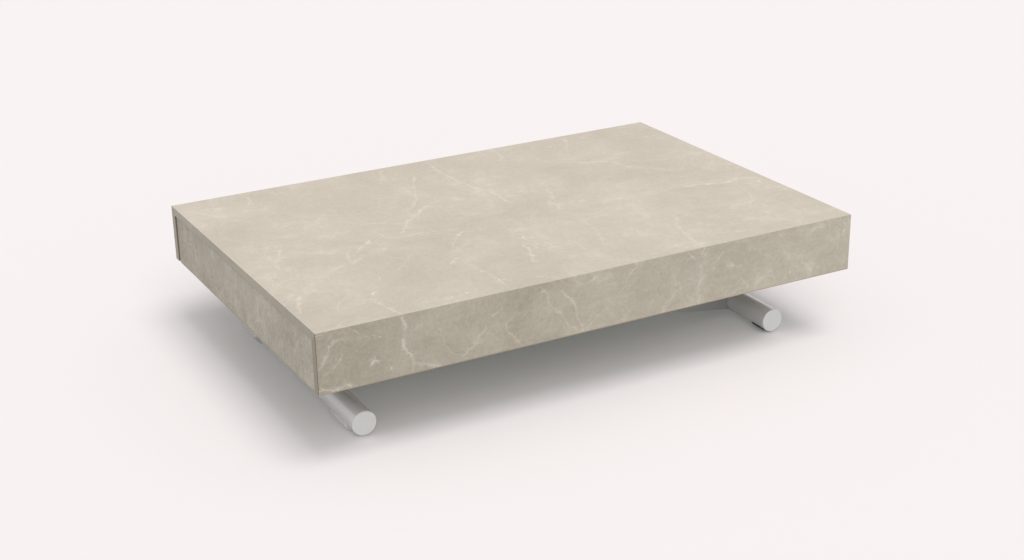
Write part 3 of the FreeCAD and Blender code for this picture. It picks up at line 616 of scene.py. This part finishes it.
# Tie-tube welds: a rippled bead runs round each end of the tie tubes, where it meets its arm.
# Each ripple is one pool of the weld, and the bead is painted over with the legs.
ripples = 26
rings_per_ripple = 3
bead_radius = 0.0024
bead_rise = 0.0006
ripple_height = 0.0006
bead_inset = 0.001
for pair in ("inner", "outer"):
    low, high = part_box(f"{pair}_tie_tube")
    middle = (low + high) / 2
    bpy.ops.object.select_all(action="DESELECT")
    bpy.ops.mesh.primitive_torus_add(
        rotation=(math.pi / 2, 0, 0), major_segments=rings_per_ripple * ripples, minor_segments=10,
        major_radius=(high.z - low.z) / 2 + bead_rise, minor_radius=bead_radius,
    )
    bead = bpy.context.object
    bpy.ops.object.transform_apply()
    bpy.ops.object.mode_set(mode="EDIT")
    bpy.ops.mesh.select_mode(type="VERT")
    bpy.ops.mesh.select_all(action="DESELECT")
    bpy.ops.object.mode_set(mode="OBJECT")
    for vertex in bead.data.vertices:
        ring = math.atan2(vertex.co.z, vertex.co.x) / math.tau * rings_per_ripple * ripples
        vertex.select = round(ring) % rings_per_ripple == 0
    bpy.ops.object.mode_set(mode="EDIT")
    bpy.ops.transform.shrink_fatten(value=-ripple_height)
    bpy.ops.object.mode_set(mode="OBJECT")
    bpy.ops.object.shade_smooth()
    for side, reach in (("front", low.y + bead_inset), ("back", high.y - bead_inset)):
        spot = (middle.x, reach, middle.z)
        copy_to(bead, f"{pair}_{side}_tie_weld", spot, 0, f"{pair}_legs", leg_paint)
    bpy.data.objects.remove(bead)

# Foot tubes: round steel tubes that lie across the floor, slotted for the arms' lower ends.
# Their powder coat is glossier than the frame's and the legs', and paler than theirs as painted light.
powder_coat(
    "foot powder coat", 1.0, (0.90, 0.895, 0.87, 1), (0.97, 0.965, 0.94, 1),
    "left_foot_tube", "right_foot_tube",
)

# Caps and glides: moulded in a pale plastic with a fine grain.
# The caps are pressed into the foot tubes' ends, and the glides are pegged under the left foot.
material, place = new_finish("pale moulded plastic")
spark = place.noise(1700, 3, 0.6)
flow = place.noise(14, 4, 0.6)
scuff = place.noise(140, 5, 0.75).ramp(0.62, 0.8)
tone = 0.8 * flow + 0.2 * spark - 0.3 * scuff
coat(material, place, {
    "Base Color": tone.mix((0.91, 0.905, 0.88, 1), (0.98, 0.975, 0.95, 1)),
    "Roughness": 0.42 + 0.16 * flow + 0.1 * scuff,
    "Specular IOR Level": 1.0,
    "Coat Weight": 0.6,
    "Coat Roughness": 0.3,
    "Normal": spark.bump(0.00006, 0.3),
}, "left_foot_cap_front", "left_foot_cap_back", "right_foot_cap_front", "right_foot_cap_back",
    "glide_front", "glide_back")

# Floor wheels: black rubber rollers on plated axles in the right foot's carriers.
# They are dulled by dust where they run on the floor.
material, place = new_finish("wheel rubber")
x, y, z = place.split()
low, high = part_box("floor_wheel_front")
middle = (low + high) / 2
radius = ((x - middle.x) ** 2 + (z - middle.z) ** 2) ** 0.5
side_radius = 0.0165
tread_radius = 0.0195
tread = radius.ramp(side_radius, tread_radius)
grain = place.noise(700, 4, 0.7)
dust = place.noise(85, 5, 0.7).ramp(0.42, 0.7) * tread
coat(material, place, {
    "Base Color": (0.15 * grain + 0.6 * dust).mix((0.014, 0.014, 0.014, 1), (0.16, 0.15, 0.14, 1)),
    "Roughness": 0.58 + 0.22 * dust + 0.1 * grain,
    "Normal": grain.bump(0.00015, 0.4),
}, "floor_wheel_front", "floor_wheel_back")

# Floor: a pale studio floor that runs past the picture's edges.
# Seen directly it is lifted a little, so that the table's shadow on it stays soft and grey.
bpy.ops.mesh.primitive_plane_add(size=60, location=(0, 0, 0))
floor = bpy.context.object
floor.name = "floor"


def direct_view(rays):
    """1 for rays from the camera, and for those that polished metal sends on."""
    seen = rays.maths("MAXIMUM", rays, Socket(rays.socket.node.outputs["Is Glossy Ray"]))
    return seen.maths("MAXIMUM", seen, Socket(rays.socket.node.outputs["Is Transmission Ray"]))


material, place = new_finish("pale studio floor")
seen = direct_view(place.node("LightPath", {}, {}, "Is Camera Ray"))
coat(material, place, {
    "Base Color": seen.mix((0.50, 0.50, 0.50, 1), (0.834, 0.773, 0.780, 1)),
    "Emission Color": seen.mix((0, 0, 0, 1), (0.102, 0.112, 0.105, 1)),
    "Emission Strength": 1.0,
    "Roughness": 0.9,
    "Specular IOR Level": 0.0,
})
floor.data.materials.append(material)

# Light: an even pale room with two broad soft lamps in front of the table.
# One hangs high and a little to the right, the other lower and a little to the left.
world = bpy.data.worlds.new("studio")
bpy.context.scene.world = world
world.use_nodes = True
world.node_tree.nodes.clear()
rays = Socket(world.node_tree.nodes.new("ShaderNodeLightPath").outputs["Is Camera Ray"])
room = direct_view(rays).mix((0.446, 0.446, 0.446, 1), (0.947, 0.896, 0.896, 1))
rays.node("OutputWorld", {}, {"Surface": rays.node("Background", {}, {"Color": room})})
for strength, spread, slant, side in ((0.371, 30, 20, -75), (0.31, 40, 45, -105)):
    bpy.ops.object.light_add(type="SUN", rotation=(0, math.radians(slant), math.radians(side)))
    lamp = bpy.context.object.data
    lamp.energy = strength * math.pi
    lamp.angle = math.radians(spread)

# Camera: a lens of about 58 mm at the left of the front, somewhat below a standing eye.
# Its place and turn were fitted to the corners of the top, the box's lower edge and the feet.
bpy.ops.object.camera_add(
    location=(-1.5601, -2.8926, 1.4302),
    rotation=(math.radians(68.180), math.radians(0.907), math.radians(-28.904)),
)
camera = bpy.context.object
camera.data.lens = 57.88
camera.data.sensor_width = 36
camera.data.clip_end = 100
bpy.context.scene.camera = camera
bpy.context.scene.view_settings.view_transform = "Standard"
